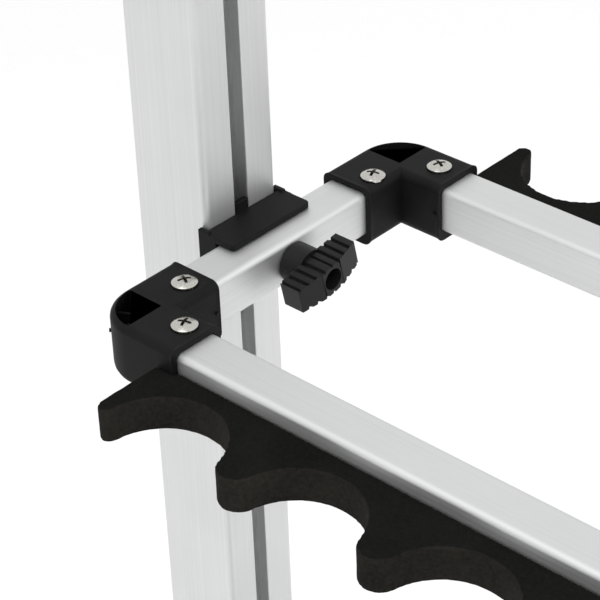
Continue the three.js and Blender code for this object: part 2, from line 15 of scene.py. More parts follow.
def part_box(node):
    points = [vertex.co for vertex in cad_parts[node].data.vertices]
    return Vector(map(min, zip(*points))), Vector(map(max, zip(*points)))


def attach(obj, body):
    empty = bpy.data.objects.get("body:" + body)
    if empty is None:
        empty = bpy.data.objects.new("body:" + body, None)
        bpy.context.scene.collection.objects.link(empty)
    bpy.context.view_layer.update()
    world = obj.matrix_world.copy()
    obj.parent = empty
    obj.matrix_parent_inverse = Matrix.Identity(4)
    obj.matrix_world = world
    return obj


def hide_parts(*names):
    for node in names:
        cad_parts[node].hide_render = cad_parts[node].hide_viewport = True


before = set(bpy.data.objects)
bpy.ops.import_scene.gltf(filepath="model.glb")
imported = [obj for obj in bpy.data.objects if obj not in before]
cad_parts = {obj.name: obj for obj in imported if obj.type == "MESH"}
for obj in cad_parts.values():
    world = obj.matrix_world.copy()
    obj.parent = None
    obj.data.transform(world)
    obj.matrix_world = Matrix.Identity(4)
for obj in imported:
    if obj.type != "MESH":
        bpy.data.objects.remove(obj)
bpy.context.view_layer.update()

# %% [markdown]
# ## A few hand tools
# A maker thinks of this rack in millimetres, and Blender works in metres, so one function turns
# one into the other. Operators act on whatever is selected, so a second one leaves a single piece
# selected and active before any work is done on it.

# %% Millimetres and one piece at a time
def mm(value):
    """Millimetres to metres, for a number or a point."""
    return value / 1000 if isinstance(value, (int, float)) else Vector(value) / 1000


def only(piece):
    """Leave this piece selected and active, and nothing else."""
    bpy.ops.object.select_all(action="DESELECT")
    piece.select_set(True)
    bpy.context.view_layer.objects.active = piece
    return piece


def corners_of(node):
    """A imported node's lowest and highest corners in millimetres."""
    low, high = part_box(node)
    return low * 1000, high * 1000


# %% [markdown]
# Every piece starts as a block or a bar. The primitive is added at its size and place, and its
# place is then applied to the mesh, because a finished object sits at the origin, as the packed
# nodes do. That keeps a pattern on object coordinates from sliding.

# %% Blocks and bars
def settle(piece):
    """Put the object's place, turn and size into its mesh."""
    only(piece)
    bpy.ops.object.transform_apply(location=True, rotation=True, scale=True)
    return piece


def block(name, low, high):
    """A cube primitive stretched between two corners, in millimetres."""
    low, high = mm(low), mm(high)
    bpy.ops.object.select_all(action="DESELECT")
    bpy.ops.mesh.primitive_cube_add(size=1, location=(low + high) / 2)
    piece = bpy.context.object
    piece.name, piece.scale = name, high - low
    return settle(piece)


def bar(name, radius, start, end, sides=64):
    """A cylinder primitive from one point to another, in millimetres."""
    start, end = mm(start), mm(end)
    turn = (end - start).to_track_quat("Z", "Y").to_euler()
    bpy.ops.object.select_all(action="DESELECT")
    bpy.ops.mesh.primitive_cylinder_add(
        vertices=sides, radius=mm(radius), depth=(end - start).length,
        location=(start + end) / 2, rotation=turn)
    piece = bpy.context.object
    piece.name = name
    return settle(piece)


# %% [markdown]
# Faces, edges and corners are picked by where they are and which way they run. The two tests
# below read like what a person would say: an edge that runs along Z, a face that looks along -X.

# %% Pick by place and direction
AXES = {"X": Vector((1, 0, 0)), "Y": Vector((0, 1, 0)), "Z": Vector((0, 0, 1))}


def spot(element):
    """The middle of a face, edge or corner, in millimetres."""
    if isinstance(element, bmesh.types.BMVert):
        return element.co * 1000
    if isinstance(element, bmesh.types.BMEdge):
        return (element.verts[0].co + element.verts[1].co) * 500
    return element.calc_center_median() * 1000


def runs(edge, axis):
    """True where an edge runs along X, Y or Z."""
    way = (edge.verts[1].co - edge.verts[0].co).normalized()
    return abs(way.dot(AXES[axis])) > 0.999


def looks(face, axis):
    """True where a face looks along an axis such as "X" or "-X"."""
    return face.normal.dot(AXES[axis[-1]] * (-1 if axis[0] == "-" else 1)) > 0.99


def pick(piece, kind, wanted):
    """Open the piece in edit mode with only the wanted faces, edges or corners selected."""
    only(piece)
    bpy.ops.object.mode_set(mode="EDIT")
    bpy.ops.mesh.select_mode(type=kind)
    bpy.ops.mesh.select_all(action="DESELECT")
    mesh = bmesh.from_edit_mesh(piece.data)
    mesh.normal_update()
    group = {"FACE": mesh.faces, "EDGE": mesh.edges, "VERT": mesh.verts}[kind]
    chosen = [element for element in group if wanted(element)]
    for element in chosen:
        element.select_set(True)
    mesh.select_flush_mode()
    bmesh.update_edit_mesh(piece.data)
    return len(chosen)


def close_edit():
    bpy.ops.object.mode_set(mode="OBJECT")


# %% [markdown]
# Four moves do most of the shaping: round some edges with a bevel, pull some faces out with an
# extrude, slide corners along, and slice the piece with a plane, keeping or dropping one side.

# %% Round, pull, slide and slice
def round_edges(piece, radius, segments, wanted):
    found = pick(piece, "EDGE", wanted)
    if found:
        bpy.ops.mesh.bevel(offset=mm(radius), segments=segments, affect="EDGES", clamp_overlap=True)
    close_edit()
    return found


def pull(piece, move, wanted):
    found = pick(piece, "FACE", wanted)
    if found:
        bpy.ops.mesh.extrude_region_move(TRANSFORM_OT_translate={"value": mm(move)})
    close_edit()
    return found


def slide(piece, move, wanted):
    found = pick(piece, "VERT", wanted)
    if found:
        bpy.ops.transform.translate(value=mm(move))
    close_edit()
    return found


def slice_at(piece, point, normal, drop=False):
    """Cut along a plane; with drop, the side the normal points to goes and the cut is closed."""
    pick(piece, "FACE", lambda face: True)
    bpy.ops.mesh.bisect(plane_co=mm(point), plane_no=normal, use_fill=drop, clear_outer=drop)
    close_edit()


# %% [markdown]
# Pockets, bores and joined bodies are made with the Boolean modifier, applied at once. A piece
# that repeats is shaped once and copied, and each copy gets a mesh of its own.

# %% Carve, weld and copy
def combine(piece, tools, operation):
    for tool in tools:
        only(piece)
        step = piece.modifiers.new(operation.lower(), "BOOLEAN")
        step.operation, step.solver, step.object = operation, "EXACT", tool
        bpy.ops.object.modifier_apply(modifier=step.name)
        bpy.data.objects.remove(tool)
    return piece


def carve(piece, *tools):
    return combine(piece, tools, "DIFFERENCE")


def weld(piece, *others):
    return combine(piece, others, "UNION")


def copied(piece, name, place):
    """A copy with its own mesh, put where the matrix says."""
    copy = piece.copy()
    copy.data = piece.data.copy()
    copy.name = name
    bpy.context.scene.collection.objects.link(copy)
    copy.matrix_world = place
    return settle(copy)


# %% [markdown]
# The last step is the same for every hard piece: smooth shading that stays crisp past a set angle,
# weighted normals so that wide flats stay flat beside their rounded edges, the finish, the body it
# moves with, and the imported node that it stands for.

# %% Finish a piece
def finish_piece(piece, finish, slot, body, *nodes, angle=32, weighted=True):
    piece.data.materials.clear()
    piece.data.materials.append(finish)
    only(piece)
    bpy.ops.object.shade_smooth_by_angle(angle=math.radians(angle))
    if weighted:
        even = piece.modifiers.new("even shading", "WEIGHTED_NORMAL")
        even.keep_sharp = True
        bpy.ops.object.modifier_apply(modifier=even.name)
    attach(piece, body)
    if nodes:
        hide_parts(*nodes)
    return piece


# %% [markdown]
# ## Finishes
# Each finish is a node tree. One function adds a node with its settings and its links, and one
# turns a hex colour, which is how a colour chart gives it, into the linear values Blender uses.

# %% Colours and nodes
def paint(hex_colour):
    """An sRGB hex colour as linear red, green, blue and alpha."""
    channels = [int(hex_colour[i:i + 2], 16) / 255 for i in (1, 3, 5)]
    linear = [c / 12.92 if c <= 0.04045 else ((c + 0.055) / 1.055) ** 2.4 for c in channels]
    return (*linear, 1)


def add_node(tree, kind, sockets=None, **settings):
    """Add a node, set its options, and fill its sockets with numbers, colours or links."""
    made = tree.nodes.new("ShaderNode" + kind)
    for option, value in settings.items():
        setattr(made, option, value)
    for socket, value in (sockets or {}).items():
        if isinstance(value, bpy.types.NodeSocket):
            tree.links.new(value, made.inputs[socket])
        else:
            made.inputs[socket].default_value = value
    return made


def two_tones(tree, amount, *stops):
    """A ramp between two colours, each given with the amount at which it is reached."""
    ramp = add_node(tree, "ValToRGB", {"Fac": amount})
    for element, (position, hex_colour) in zip(ramp.color_ramp.elements, stops):
        element.position = position
        element.color = paint(hex_colour)
    return ramp


def new_finish(name, **shader_values):
    """An empty finish: its tree, its main shader with constant values set, and object coordinates."""
    finish = bpy.data.materials.new(name)
    finish.use_nodes = True
    tree = finish.node_tree
    tree.nodes.clear()
    shader = add_node(tree, "BsdfPrincipled")
    for socket, value in shader_values.items():
        shader.inputs[socket.replace("_", " ")].default_value = value
    add_node(tree, "OutputMaterial", {"Surface": shader.outputs["BSDF"]})
    return finish, tree, shader, add_node(tree, "TexCoord")


print("paint #808080 is", round(paint("#808080")[0], 4), "linear")

# %% [markdown]
# **Anodised aluminium.** The tubes and posts are extruded, etched and clear anodised. Extrusion
# leaves fine die lines along the length, and the etch turns the shine to satin, so the metal shows
# soft bright bands and no sharp reflections. The lines are noise stretched along the bar. Real die
# lines are about 0.1 mm apart; here they are near 0.7 mm so that they show at this distance.

# %% Anodised aluminium
DIE_LINE = 0.7 / 1000


def anodised_aluminium(name, along):
    finish, tree, shader, place = new_finish(name, Metallic=1.0)
    spacing = [1 / DIE_LINE] * 3
    spacing["XYZ".index(along)] = 5
    stretched = add_node(tree, "Mapping", {"Vector": place.outputs["Object"], "Scale": spacing})
    lines = add_node(tree, "TexNoise",
        {"Vector": stretched.outputs["Vector"], "Scale": 1.0, "Detail": 4.0, "Roughness": 0.6})
    cloud = add_node(tree, "TexNoise", {"Vector": place.outputs["Object"], "Scale": 30.0, "Detail": 2.0})
    both = add_node(tree, "Mix", {0: 0.3, "A": lines.outputs["Fac"], "B": cloud.outputs["Fac"]},
        data_type="FLOAT")
    tone = two_tones(tree, both.outputs["Result"], (0.3, "#d6d7d7"), (0.7, "#dfdfdf"))
    tree.links.new(tone.outputs["Color"], shader.inputs["Base Color"])
    satin = add_node(tree, "MapRange",
        {"Value": both.outputs["Result"], "From Min": 0.3, "From Max": 0.7, "To Min": 0.58, "To Max": 0.5})
    tree.links.new(satin.outputs["Result"], shader.inputs["Roughness"])
    relief = add_node(tree, "Bump", {"Strength": 0.05, "Distance": 0.00004, "Height": lines.outputs["Fac"]})
    tree.links.new(relief.outputs["Normal"], shader.inputs["Normal"])
    return finish


ALUMINIUM = {axis: anodised_aluminium("anodised_aluminium_" + axis.lower(), axis) for axis in "XYZ"}
print("aluminium finishes:", [finish.name for finish in ALUMINIUM.values()])

# %% [markdown]
# **Moulded nylon.** The corner connectors, brackets, sockets and caps are black glass-filled nylon
# from a spark-eroded mould. The mould's texture leaves a fine matt grain of about 0.3 mm, and the
# glass fibres make the black slightly cloudy.
#
# **Knob plastic.** The wing knobs come from a smoother mould, so they are the same black with less
# grain and a little more sheen.

# %% Moulded black plastics
def moulded_plastic(name, dark, light, roughness, grain_mm, depth, shine):
    finish, tree, shader, place = new_finish(name, IOR=1.52, Specular_IOR_Level=shine)
    grain = add_node(tree, "TexNoise",
        {"Vector": place.outputs["Object"], "Scale": 1000 / grain_mm, "Detail": 3.0, "Roughness": 0.65})
    cloud = add_node(tree, "TexNoise", {"Vector": place.outputs["Object"], "Scale": 90.0, "Detail": 3.0})
    both = add_node(tree, "Mix", {0: 0.45, "A": grain.outputs["Fac"], "B": cloud.outputs["Fac"]},
        data_type="FLOAT")
    tone = two_tones(tree, both.outputs["Result"], (0.35, dark), (0.65, light))
    tree.links.new(tone.outputs["Color"], shader.inputs["Base Color"])
    matt = add_node(tree, "MapRange", {
        "Value": both.outputs["Result"], "From Min": 0.3, "From Max": 0.7,
        "To Min": roughness - 0.06, "To Max": roughness + 0.06})
    tree.links.new(matt.outputs["Result"], shader.inputs["Roughness"])
    relief = add_node(tree, "Bump",
        {"Strength": 0.5, "Distance": depth / 1000, "Height": grain.outputs["Fac"]})
    tree.links.new(relief.outputs["Normal"], shader.inputs["Normal"])
    return finish


NYLON = moulded_plastic("moulded_black_nylon", "#0c0c0c", "#191919", 0.56, 0.45, 0.09, 0.1)
KNOB_PLASTIC = moulded_plastic("satin_knob_plastic", "#0f0f0f", "#1b1b1b", 0.44, 0.6, 0.04, 0.16)
print("plastic finishes:", NYLON.name, KNOB_PLASTIC.name)

# %% [markdown]
# **Plated steel.** Screws, bolts and nuts are steel with a bright nickel plate. It reflects
# clearly, with a slightly warm grey and faint streaks from tumbling in the plating barrel.

# %% Nickel-plated steel
def nickel_plated_steel():
    finish, tree, shader, place = new_finish("nickel_plated_steel", Metallic=1.0)
    streaks = add_node(tree, "TexNoise",
        {"Vector": place.outputs["Object"], "Scale": 1400.0, "Detail": 4.0})
    tone = two_tones(tree, streaks.outputs["Fac"], (0.3, "#b9b7b0"), (0.7, "#d2d0ca"))
    tree.links.new(tone.outputs["Color"], shader.inputs["Base Color"])
    polish = add_node(tree, "MapRange",
        {"Value": streaks.outputs["Fac"], "From Min": 0.3, "From Max": 0.7, "To Min": 0.16, "To Max": 0.3})
    tree.links.new(polish.outputs["Result"], shader.inputs["Roughness"])
    relief = add_node(tree, "Bump",
        {"Strength": 0.15, "Distance": 0.00004, "Height": streaks.outputs["Fac"]})
    tree.links.new(relief.outputs["Normal"], shader.inputs["Normal"])
    return finish


STEEL = nickel_plated_steel()
print("steel finish:", STEEL.name)

# %% [markdown]
# **EVA foam.** The strips are cut from a closed-cell sheet. Its top and bottom are the sheet's
# matt skin. The cut walls show the opened cells, so they are a shade lighter and rougher. Cells
# are 0.3 to 1 mm across. The surface's own normal tells the skin from the cut walls: on the skin it
# points up or down.

# %% Closed-cell foam
def closed_cell_foam():
    finish, tree, shader, place = new_finish("closed_cell_eva_foam", IOR=1.45, Roughness=0.92,
        Specular_IOR_Level=0.06)
    cells = add_node(tree, "TexVoronoi",
        {"Vector": place.outputs["Object"], "Scale": 900.0, "Randomness": 1.0})
    speckle = add_node(tree, "TexNoise",
        {"Vector": place.outputs["Object"], "Scale": 650.0, "Detail": 5.0, "Roughness": 0.7})
    patch = add_node(tree, "TexNoise", {"Vector": place.outputs["Object"], "Scale": 45.0, "Detail": 3.0})
    facing = add_node(tree, "SeparateXYZ", {"Vector": place.outputs["Normal"]})
    upright = add_node(tree, "Math", {0: facing.outputs["Z"]}, operation="ABSOLUTE")
    skin = add_node(tree, "MapRange",
        {"Value": upright.outputs["Value"], "From Min": 0.55, "From Max": 0.95})
    mixed = add_node(tree, "Mix", {0: 0.4, "A": speckle.outputs["Fac"], "B": patch.outputs["Fac"]},
        data_type="FLOAT")
    skin_tone = two_tones(tree, mixed.outputs["Result"], (0.34, "#0d0d0c"), (0.66, "#181817"))
    wall_tone = two_tones(tree, mixed.outputs["Result"], (0.34, "#151412"), (0.66, "#292724"))
    tone = add_node(tree, "Mix",
        {0: skin.outputs["Result"], 6: wall_tone.outputs["Color"], 7: skin_tone.outputs["Color"]},
        data_type="RGBA")
    tree.links.new(tone.outputs[2], shader.inputs["Base Color"])
    height = add_node(tree, "Mix", {0: 0.5, "A": speckle.outputs["Fac"], "B": cells.outputs["Distance"]},
        data_type="FLOAT")
    relief = add_node(tree, "Bump",
        {"Strength": 0.55, "Distance": 0.0003, "Height": height.outputs["Result"]})
    tree.links.new(relief.outputs["Normal"], shader.inputs["Normal"])
    return finish


FOAM = closed_cell_foam()
print("foam finish:", FOAM.name)

# %% [markdown]
# ## Square tubes
# Each ring is four lengths of 20 mm square tube with 2.6 mm rounded edges and a 1.2 mm wall. A
# block gives the outside. Its two ends are deleted, its four long edges are rounded in six steps,
# and a Solidify modifier grows the wall inwards. Making the hollow last keeps the inner and outer
# corners concentric, as they are in an extrusion.

# %% One tube of each kind
TUBE_EDGE, TUBE_WALL = 2.6, 1.2


def square_tube(name, node, axis):
    tube = block(name, *corners_of(node))
    pick(tube, "FACE", lambda face: looks(face, axis) or looks(face, "-" + axis))
    bpy.ops.mesh.delete(type="ONLY_FACE")
    close_edit()
    round_edges(tube, TUBE_EDGE, 6, lambda edge: runs(edge, axis))
    wall = tube.modifiers.new("wall", "SOLIDIFY")
    wall.thickness, wall.offset, wall.use_even_offset = mm(TUBE_WALL), -1, True
    only(tube)
    bpy.ops.object.modifier_apply(modifier=wall.name)
    return tube


def moved_tube(tube, name, node, from_node):
    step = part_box(node)[0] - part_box(from_node)[0]
    return copied(tube, name, Matrix.Translation(step))


RINGS = ("upper", "lower")
long_tube = square_tube("long_tube", "upper_tube_front", "X")
cross_tube = square_tube("cross_tube", "upper_tube_left", "Y")
foot_tube = square_tube("foot_tube", "foot_tube_left", "Y")
rail = square_tube("base_rail_tube", "base_rail", "X")
print("long tube faces:", len(long_tube.data.polygons))

# %% Tubes in their places
for ring in RINGS:
    for side in ("front", "back"):
        node = f"{ring}_tube_{side}"
        tube = moved_tube(long_tube, f"{ring}_long_tube_{side}", node, "upper_tube_front")
        finish_piece(tube, ALUMINIUM["X"], "aluminium", ring + "_frame", node)
    for end in ("left", "right"):
        node = f"{ring}_tube_{end}"
        tube = moved_tube(cross_tube, f"{ring}_cross_tube_{end}", node, "upper_tube_left")
        finish_piece(tube, ALUMINIUM["Y"], "aluminium", ring + "_frame", node)
for end in ("left", "right"):
    node = "foot_tube_" + end
    tube = moved_tube(foot_tube, "cross_foot_tube_" + end, node, "foot_tube_left")
    finish_piece(tube, ALUMINIUM["Y"], "aluminium", "stand", node)
finish_piece(rail, ALUMINIUM["X"], "aluminium", "stand", "base_rail")
for pattern_tube in (long_tube, cross_tube, foot_tube):
    bpy.data.objects.remove(pattern_tube)

# %% [markdown]
# ## Posts
# A post is a 40 mm square extrusion with a 7.6 mm slot in its inner face. Behind the slot is a
# wider channel where the clamping nut runs, and the rest is hollow. The bar's outside is a block
# with its long edges rounded. The slot, the channel and the hollows are carved with plain blocks,
# and the slot's two lips get the tiny rounding that catches the light.

# %% The slotted post
POST_EDGE, POST_WALL = 2.75, 1.6
SLOT_HALF, LIP, CHANNEL_HALF, CHANNEL_DEEP = 3.8, 1.5, 9, 9


def slotted_post(node):
    low, high = corners_of(node)
    post = block("slotted_post_left", low, high)
    round_edges(post, POST_EDGE, 6, lambda edge: runs(edge, "Z"))
    bottom, top, face = low.z - 1, high.z + 1, high.x
    channel_back = face - LIP - CHANNEL_DEEP
    side, inner = high.y - POST_WALL, CHANNEL_HALF + POST_WALL
    tools = [
        block("slot", (face - LIP - 1, -SLOT_HALF, bottom), (face + 1, SLOT_HALF, top)),
        block("channel", (channel_back, -CHANNEL_HALF, bottom), (face - LIP, CHANNEL_HALF, top)),
        block("hollow", (low.x + POST_WALL, -side, bottom), (channel_back - POST_WALL, side, top)),
        block("hollow", (channel_back - POST_WALL - 1, -side, bottom), (face - POST_WALL, -inner, top)),
        block("hollow", (channel_back - POST_WALL - 1, inner, bottom), (face - POST_WALL, side, top)),
    ]
    carve(post, *tools)
    lips = round_edges(post, 0.45, 3,
        lambda edge: runs(edge, "Z") and abs(abs(spot(edge).y) - SLOT_HALF) < 0.05)
    return post, lips


left_post, lip_edges = slotted_post("post_left")
HALF_TURN = Matrix.Rotation(math.pi, 4, "Z")
right_post = copied(left_post, "slotted_post_right", HALF_TURN)
finish_piece(left_post, ALUMINIUM["Z"], "aluminium", "stand", "post_left")
finish_piece(right_post, ALUMINIUM["Z"], "aluminium", "stand", "post_right")
print("lip edges rounded:", lip_edges, "post faces:", len(left_post.data.polygons))

# %% [markdown]
# ## Corner connectors
# A connector is one nylon moulding: a sleeve along each tube, joined round the outside by a
# quarter cylinder with an open pocket in its top. It is modelled with its corner axis on the
# origin and its top at zero. A cylinder cut down to a quarter gives the round corner, and each
# sleeve is pulled out of its flat sides. Pulling keeps one closed skin, so the long edges can be
# rounded in one go, softer on the inside of the corner than round the outside.

# %% Outside of a connector
SLEEVE_OUT, SLEEVE_IN, SLEEVE_END, SLEEVE_H = 19.4, 5.6, 25.3, 26.5
TUBE_OFF, TUBE_DROP = 6.9, 12.5


def connector_outside():
    body = bar("corner_connector", SLEEVE_OUT, (0, 0, -SLEEVE_H), (0, 0, 0), sides=96)
    slice_at(body, (0, 0, 0), (1, 0, 0), drop=True)
    slice_at(body, (0, 0, 0), (0, 1, 0), drop=True)
    pull(body, (SLEEVE_IN, 0, 0), lambda face: looks(face, "X"))
    pull(body, (0, SLEEVE_IN, 0), lambda face: looks(face, "Y"))
    pull(body, (SLEEVE_END - SLEEVE_IN, 0, 0), lambda face: looks(face, "X"))
    pull(body, (0, SLEEVE_END - SLEEVE_IN, 0), lambda face: looks(face, "Y") and spot(face).x < SLEEVE_IN)
    pick(body, "FACE", lambda face: True)
    bpy.ops.mesh.dissolve_limited(angle_limit=math.radians(1))
    close_edit()
    on_mouth = lambda edge: max(spot(edge).x, spot(edge).y) > SLEEVE_END - 0.01
    inside = lambda edge: runs(edge, "X") and spot(edge).y > 0 or runs(edge, "Y") and spot(edge).x > 0
    at = lambda edge, z: abs(spot(edge).z - z) < 0.01 and not on_mouth(edge)
    return [round_edges(body, 3.6, 5, lambda edge: at(edge, 0) and inside(edge)),
            round_edges(body, 3.2, 5, lambda edge: at(edge, 0) and not inside(edge)),
            round_edges(body, 4.2, 5, lambda edge: at(edge, -SLEEVE_H))], body


rounded, connector = connector_outside()
print("connector edges rounded, top inside, top outside, bottom:", rounded)

# %% [markdown]
# The mouths curl outwards over their last two millimetres, where the moulding opens to let its
# tube in. Two slices near each mouth give the curl something to bend, and each outline from there
# on is scaled up about the tube's centre, the last one most. The outermost edge is then rounded.

# %% Flared mouths
def flare_mouths(body):
    for axis, normal in ((0, (1, 0, 0)), (1, (0, 1, 0))):
        for back in (2.4, 1.4, 0.6):
            start = [0, 0, 0]
            start[axis] = SLEEVE_END - back
            slice_at(body, start, normal)
        for back, spread in ((1.4, 1.005), (0.6, 1.016), (0, 1.026)):
            pick(body, "VERT", lambda corner: abs(spot(corner)[axis] - SLEEVE_END + back) < 0.02)
            centre = [-TUBE_OFF, -TUBE_OFF, -SLEEVE_H / 2]
            centre[axis] = SLEEVE_END - back
            size = [spread, spread, spread]
            size[axis] = 1
            bpy.ops.transform.resize(value=size, center_override=mm(centre))
            close_edit()
        round_edges(body, 0.35, 3,
            lambda edge: abs(spot(edge)[axis] - SLEEVE_END) < 0.01 and edge.calc_face_angle(0) > 1)


flare_mouths(connector)
print("mouth width:", round(max(v.co.x for v in connector.data.vertices) * 1000, 2),
    "mm from the corner axis")

# %% [markdown]
# The inside comes next: two square bores for the tubes, and the quarter-round pocket, whose rim
# is rounded a little.

# %% Bores and pocket
POCKET_R, POCKET_DEEP = 17.2, 20


def rounded_bore(low, high, axis, radius=2.6):
    bore = block("bore", low, high)
    round_edges(bore, radius, 5, lambda edge: runs(edge, axis))
    return bore


def hollow_connector(body):
    half, low, high = 10.3, SLEEVE_IN, SLEEVE_END + 1
    bore_x = rounded_bore((low, -TUBE_OFF - half, -TUBE_DROP - half),
        (high, -TUBE_OFF + half, -TUBE_DROP + half), "X")
    bore_y = rounded_bore((-TUBE_OFF - half, low, -TUBE_DROP - half),
        (-TUBE_OFF + half, high, -TUBE_DROP + half), "Y")
    pocket = bar("pocket", POCKET_R, (0, 0, -POCKET_DEEP), (0, 0, 1), sides=96)
    slice_at(pocket, (0, 0, 0), (1, 0, 0), drop=True)
    slice_at(pocket, (0, 0, 0), (0, 1, 0), drop=True)
    carve(body, bore_x, bore_y, pocket)
    return round_edges(body, 0.5, 3,
        lambda edge: abs(spot(edge).z) < 0.01 and spot(edge).x < 0.01 and spot(edge).y < 0.01
                       and spot(edge).xy.length < POCKET_R + 0.1)


pocket_rim = hollow_connector(connector)
print("pocket rim edges:", pocket_rim)

# %% Pocket ribs and gate marks
def connector_details(body):
    ribs = []
    for turn in (-28, -62):
        rib = block("rib", (-POCKET_R - 0.6, -0.6, -POCKET_DEEP - 0.5), (-0.2, 0.6, -5))
        round_edges(rib, 0.3, 2, lambda edge: runs(edge, "X") and spot(edge).z > -6)
        ribs.append(copied(rib, "rib", Matrix.Rotation(math.radians(90 + turn), 4, "Z")))
        bpy.data.objects.remove(rib)
    nub_y = bar("nub", 0.8, (-12.9, -13.9, -9.3), (-13.7, -14.7, -9.3), sides=16)
    nub_x = bar("nub", 0.8, (SLEEVE_IN - 0.4, 23.2, -13), (SLEEVE_IN + 0.9, 23.2, -13), sides=16)
    weld(body, *ribs, nub_x, nub_y)


connector_details(connector)
print("connector faces:", len(connector.data.polygons))

# %% [markdown]
# The screw holes were drilled by hand, so two corners that lie across from each other share one
# pattern and the other two share another. Each hole gets a shallow round seat for its screw head.

# %% Connectors at every corner
SCREW_SPOTS = {"straight": ((16.5, -3.95), (-3.95, 16.5)), "drifted": ((15.6, -1), (-7.2, 15.2))}
CORNERS = {"left_front": (-1, -1, 0, "straight"), "right_front": (1, -1, 1, "drifted"),
           "right_back": (1, 1, 2, "straight"), "left_back": (-1, 1, 3, "drifted")}


def drilled(body, pattern):
    body = copied(body, pattern + "_connector", Matrix())
    for x, y in SCREW_SPOTS[pattern]:
        seat = bar("seat", 5.5, (x, y, -0.35), (x, y, 1), sides=48)
        hole = bar("hole", 2.3, (x, y, -8), (x, y, 1), sides=24)
        carve(body, seat, hole)
    return body


def corner_place(ring, corner):
    """Where a connector's corner axis stands, turned so that its sleeves meet the tubes."""
    low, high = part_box(f"{ring}_connector_{corner}")
    end_x, end_y, quarter, _ = CORNERS[corner]
    x = low.x + mm(SLEEVE_OUT) if end_x < 0 else high.x - mm(SLEEVE_OUT)
    y = low.y + mm(SLEEVE_OUT) if end_y < 0 else high.y - mm(SLEEVE_OUT)
    return Matrix.Translation((x, y, high.z)) @ Matrix.Rotation(quarter * math.pi / 2, 4, "Z")


ready = {pattern: drilled(connector, pattern) for pattern in SCREW_SPOTS}
for ring in RINGS:
    for corner, (_, _, _, pattern) in CORNERS.items():
        piece = copied(ready[pattern], f"{ring}_corner_{corner}", corner_place(ring, corner))
        finish_piece(piece, NYLON, "black_plastic", ring + "_frame", f"{ring}_connector_{corner}")
for spare in (connector, *ready.values()):
    bpy.data.objects.remove(spare)
print("upper front left corner axis:",
    [round(v * 1000, 2) for v in corner_place("upper", "left_front").translation])

# %% [markdown]
# ## Connector screws
# Each connector is held by two self-tapping screws with a domed head and a cross recess. The dome
# is a sphere cut down to a cap. Its flat underside is pulled down to make the rim, then inset and
# pulled again for the shank. The cross is carved with two tapered arms.

# %% A domed screw
HEAD_R, HEAD_H, RIM_H, SHANK_R, SHANK_L = 5.2, 2.4, 0.8, 2.0, 8.0
DOME_R = (HEAD_R ** 2 + (HEAD_H - RIM_H) ** 2) / (2 * (HEAD_H - RIM_H))


def recess_arm(along_x):
    wide, narrow, floor = (3.1, 0.72) if along_x else (0.72, 3.1), 0.72, -0.6
    arm = block("arm", (-wide[0], -wide[1], floor), (wide[0], wide[1], 4))
    pick(arm, "FACE", lambda face: looks(face, "-Z"))
    bpy.ops.transform.resize(value=(narrow, narrow, 1), center_override=(0, 0, mm(floor)))
    close_edit()
    return arm


def domed_screw():
    bpy.ops.object.select_all(action="DESELECT")
    bpy.ops.mesh.primitive_uv_sphere_add(segments=48, ring_count=64, radius=mm(DOME_R),
        location=(0, 0, mm(HEAD_H - DOME_R)))
    screw = settle(bpy.context.object)
    screw.name = "domed_screw"
    slice_at(screw, (0, 0, RIM_H), (0, 0, -1), drop=True)
    pull(screw, (0, 0, -RIM_H), lambda face: looks(face, "-Z"))
    round_edges(screw, 0.3, 2, lambda edge: abs(spot(edge).z - RIM_H) < 0.02 or abs(spot(edge).z) < 0.02)
    pick(screw, "FACE", lambda face: looks(face, "-Z"))
    bpy.ops.mesh.inset(thickness=mm(HEAD_R - 0.3 - SHANK_R))
    bpy.ops.mesh.extrude_region_move(TRANSFORM_OT_translate={"value": (0, 0, mm(-SHANK_L))})
    close_edit()
    carve(screw, recess_arm(True), recess_arm(False))
    soft = screw.modifiers.new("worn edges", "BEVEL")
    soft.width, soft.segments, soft.limit_method, soft.angle_limit = mm(0.1), 2, "ANGLE", math.radians(50)
    only(screw)
    bpy.ops.object.modifier_apply(modifier=soft.name)
    return screw


screw = domed_screw()
print("screw head radius:", round(max(v.co.x for v in screw.data.vertices) * 1000, 2), "faces:",
    len(screw.data.polygons))

# %% Screws in every connector
for ring in RINGS:
    for corner in CORNERS:
        for letter, (x, y), turn in zip("ab", SCREW_SPOTS[CORNERS[corner][3]], (20, 64)):
            seat = Matrix.Translation(mm((x, y, 0))) @ Matrix.Rotation(math.radians(turn), 4, "Z")
            piece = copied(screw, f"{ring}_domed_screw_{corner}_{letter}",
                corner_place(ring, corner) @ seat)
            nodes = [f"upper_screw_{corner}_{letter}"] if ring == "upper" else []
            finish_piece(piece, STEEL, "plated_steel", ring + "_frame", *nodes, angle=40)
bpy.data.objects.remove(screw)

# %% [markdown]
# ## Brackets
# Between a post and a cross tube sits a nylon bracket. Its plate stands against the slotted face,
# a lip runs over the tube and another under it, ears reach round the post's corners, and a key
# fills the slot. Everything grows out of one block by slicing it and pulling faces, so the bracket
# stays one closed body. The little horns at the lip's back corners run into it with a hollow
# curve, which is a bevel on an inside edge.

# %% The bracket
TUBE_FACE, POST_FACE, LIP_IN, LIP_OUT, BRACKET_HALF = -10.3, -16.6, 10.3, 12.8, 22.3


